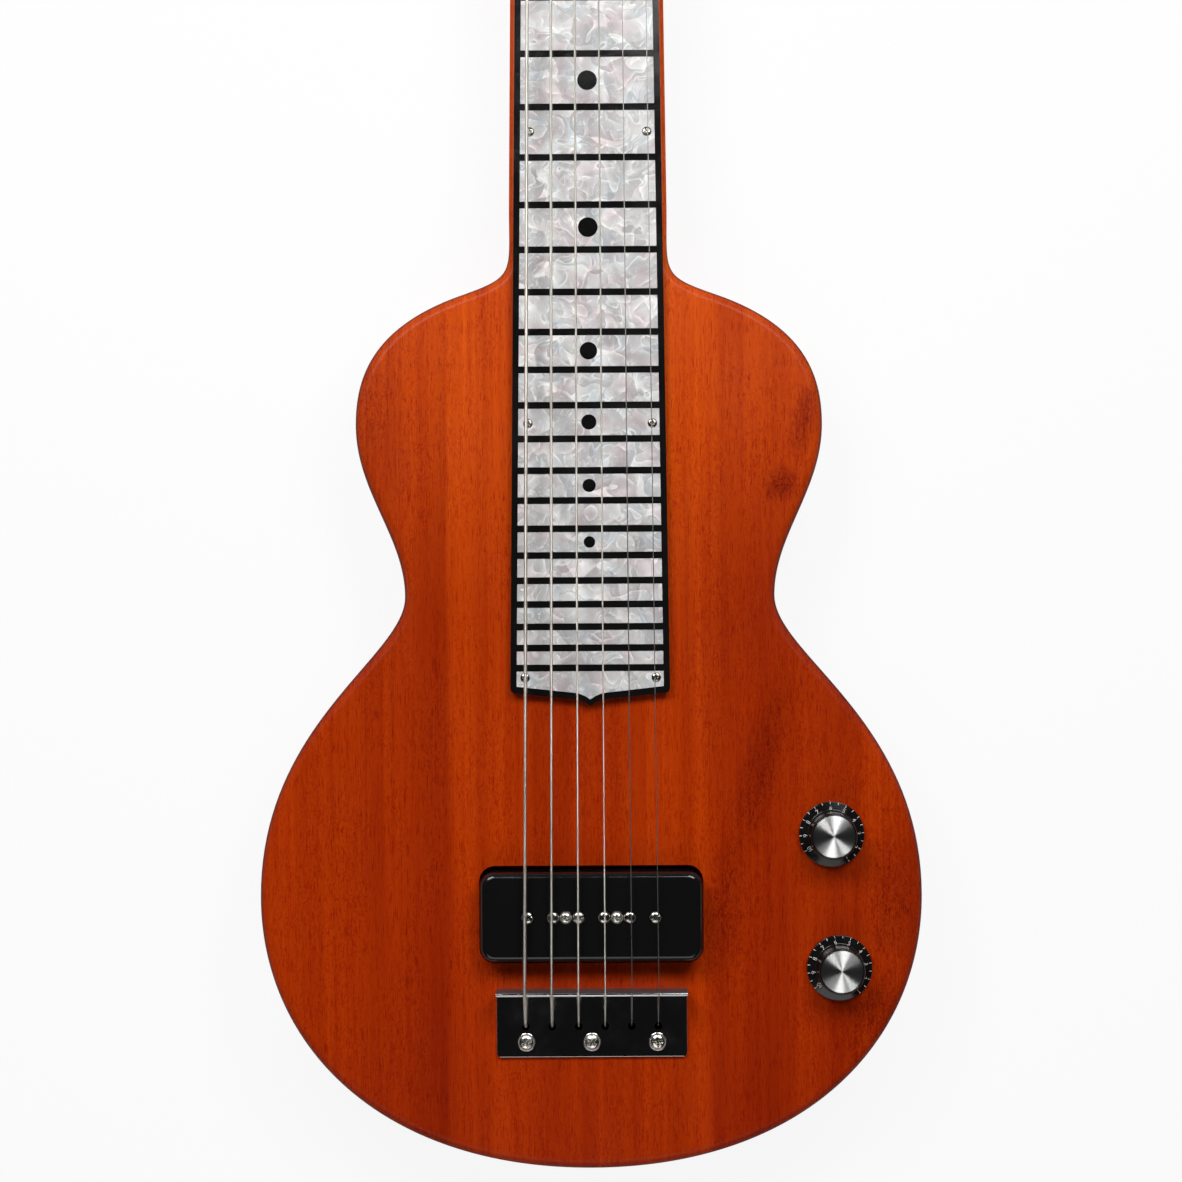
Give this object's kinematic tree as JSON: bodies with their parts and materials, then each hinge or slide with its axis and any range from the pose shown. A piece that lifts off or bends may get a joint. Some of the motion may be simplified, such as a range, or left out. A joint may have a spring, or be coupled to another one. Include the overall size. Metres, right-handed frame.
{
  "type": "lap steel guitar",
  "caption": "Lap steel guitar: carved solid wood body, pearl fretboard, raised nut, bent-plate bridge, bar pickup, control knobs, side jack and open worm-gear tuners.",
  "frame": {"origin": "on the flat back, straight under the middle of the saddle", "axes": "+X to the treble side, +Y along the neck to the head, +Z out of the face"},
  "size_m": [0.258, 0.7994, 0.0554],
  "materials": {
    "mahogany": "satin lacquer",
    "pearloid": "polished pearl",
    "black_plastic": "polished",
    "nickel": "nickel plated",
    "chrome": "polished",
    "brass": "satin",
    "aluminium": "spun",
    "copper_wire": "enamelled wire",
    "cream_plastic": "satin",
    "string_steel": "drawn wire"
  },
  "bodies": {
    "root": {"body": "mahogany", "fretboard_base": "black_plastic", "fretboard_pearl": "pearloid", "fret_lines": "black_plastic", "nut": "nickel", "bridge_plate": "chrome", "string_ferrule_bar": "nickel", "pickup_cover": "black_plastic", "pickup_coil": "copper_wire", "pickup_baseplate": "nickel", "control_cover": "black_plastic", "tone_capacitor": "cream_plastic", "jack_socket": "chrome", "jack_nut": "chrome", "tuner_plate_left": "nickel", "tuner_plate_right": "nickel", "string_1": "string_steel", "pole_screw_1": "nickel", "tuner_bushing_1": "nickel", "string_2": "string_steel", "pole_screw_2": "nickel", "tuner_bushing_2": "nickel", "string_3": "string_steel", "pole_screw_3": "nickel", "tuner_bushing_3": "nickel", "string_4": "string_steel", "pole_screw_4": "nickel", "tuner_bushing_4": "nickel", "string_5": "string_steel", "pole_screw_5": "nickel", "tuner_bushing_5": "nickel", "string_6": "string_steel", "pole_screw_6": "nickel", "tuner_bushing_6": "nickel", "bridge_screw_1": "chrome", "bridge_screw_2": "chrome", "bridge_screw_3": "chrome", "pickup_screw_1": "nickel", "pickup_screw_2": "nickel", "potentiometer_upper": "string_steel", "potentiometer_lower": "string_steel"},
    "knob_upper": {"knob_upper": "black_plastic", "knob_cap_upper": "aluminium", "pot_shaft_upper": "brass"},
    "knob_lower": {"knob_lower": "black_plastic", "knob_cap_lower": "aluminium", "pot_shaft_lower": "brass"},
    "tuner_post_1": {"tuner_post_1": "nickel"},
    "tuner_button_1": {"tuner_button_1": "cream_plastic"},
    "tuner_post_2": {"tuner_post_2": "nickel"},
    "tuner_button_2": {"tuner_button_2": "cream_plastic"},
    "tuner_post_3": {"tuner_post_3": "nickel"},
    "tuner_button_3": {"tuner_button_3": "cream_plastic"},
    "tuner_post_4": {"tuner_post_4": "nickel"},
    "tuner_button_4": {"tuner_button_4": "cream_plastic"},
    "tuner_post_5": {"tuner_post_5": "nickel"},
    "tuner_button_5": {"tuner_button_5": "cream_plastic"},
    "tuner_post_6": {"tuner_post_6": "nickel"},
    "tuner_button_6": {"tuner_button_6": "cream_plastic"}
  },
  "joints": [
    {"name": "knob_upper_turn", "type": "hinge", "parent": "root", "child": "knob_upper", "pos_m": [0.0934, 0.06, 0.04], "axis": [0, 0, 1], "range_deg": [-114, 171]},
    {"name": "knob_lower_turn", "type": "hinge", "parent": "root", "child": "knob_lower", "pos_m": [0.0962, 0.0081, 0.04], "axis": [0, 0, 1], "range_deg": [-114, 171]},
    {"name": "tuner_button_1_turn", "type": "hinge", "parent": "root", "child": "tuner_button_1", "pos_m": [-0.023, 0.61561, 0.01694], "axis": [1, 0, 0], "continuous": true},
    {"name": "tuner_post_1_turn", "type": "hinge", "parent": "root", "child": "tuner_post_1", "pos_m": [-0.023, 0.622, 0.03], "axis": [0, 0, 1], "continuous": true},
    {"name": "tuner_button_2_turn", "type": "hinge", "parent": "root", "child": "tuner_button_2", "pos_m": [-0.023, 0.65061, 0.01694], "axis": [1, 0, 0], "continuous": true},
    {"name": "tuner_post_2_turn", "type": "hinge", "parent": "root", "child": "tuner_post_2", "pos_m": [-0.023, 0.657, 0.03], "axis": [0, 0, 1], "continuous": true},
    {"name": "tuner_button_3_turn", "type": "hinge", "parent": "root", "child": "tuner_button_3", "pos_m": [-0.023, 0.68561, 0.01694], "axis": [1, 0, 0], "continuous": true},
    {"name": "tuner_post_3_turn", "type": "hinge", "parent": "root", "child": "tuner_post_3", "pos_m": [-0.023, 0.692, 0.03], "axis": [0, 0, 1], "continuous": true},
    {"name": "tuner_button_4_turn", "type": "hinge", "parent": "root", "child": "tuner_button_4", "pos_m": [0.023, 0.68561, 0.01694], "axis": [1, 0, 0], "continuous": true},
    {"name": "tuner_post_4_turn", "type": "hinge", "parent": "root", "child": "tuner_post_4", "pos_m": [0.023, 0.692, 0.03], "axis": [0, 0, 1], "continuous": true},
    {"name": "tuner_button_5_turn", "type": "hinge", "parent": "root", "child": "tuner_button_5", "pos_m": [0.023, 0.65061, 0.01694], "axis": [1, 0, 0], "continuous": true},
    {"name": "tuner_post_5_turn", "type": "hinge", "parent": "root", "child": "tuner_post_5", "pos_m": [0.023, 0.657, 0.03], "axis": [0, 0, 1], "continuous": true},
    {"name": "tuner_button_6_turn", "type": "hinge", "parent": "root", "child": "tuner_button_6", "pos_m": [0.023, 0.61561, 0.01694], "axis": [1, 0, 0], "continuous": true},
    {"name": "tuner_post_6_turn", "type": "hinge", "parent": "root", "child": "tuner_post_6", "pos_m": [0.023, 0.622, 0.03], "axis": [0, 0, 1], "continuous": true}
  ],
  "couplings": [
    {"joint": "tuner_post_1_turn", "follows": "tuner_button_1_turn", "ratio": 0.071429},
    {"joint": "tuner_post_2_turn", "follows": "tuner_button_2_turn", "ratio": 0.071429},
    {"joint": "tuner_post_3_turn", "follows": "tuner_button_3_turn", "ratio": 0.071429},
    {"joint": "tuner_post_4_turn", "follows": "tuner_button_4_turn", "ratio": -0.071429},
    {"joint": "tuner_post_5_turn", "follows": "tuner_button_5_turn", "ratio": -0.071429},
    {"joint": "tuner_post_6_turn", "follows": "tuner_button_6_turn", "ratio": -0.071429}
  ]
}
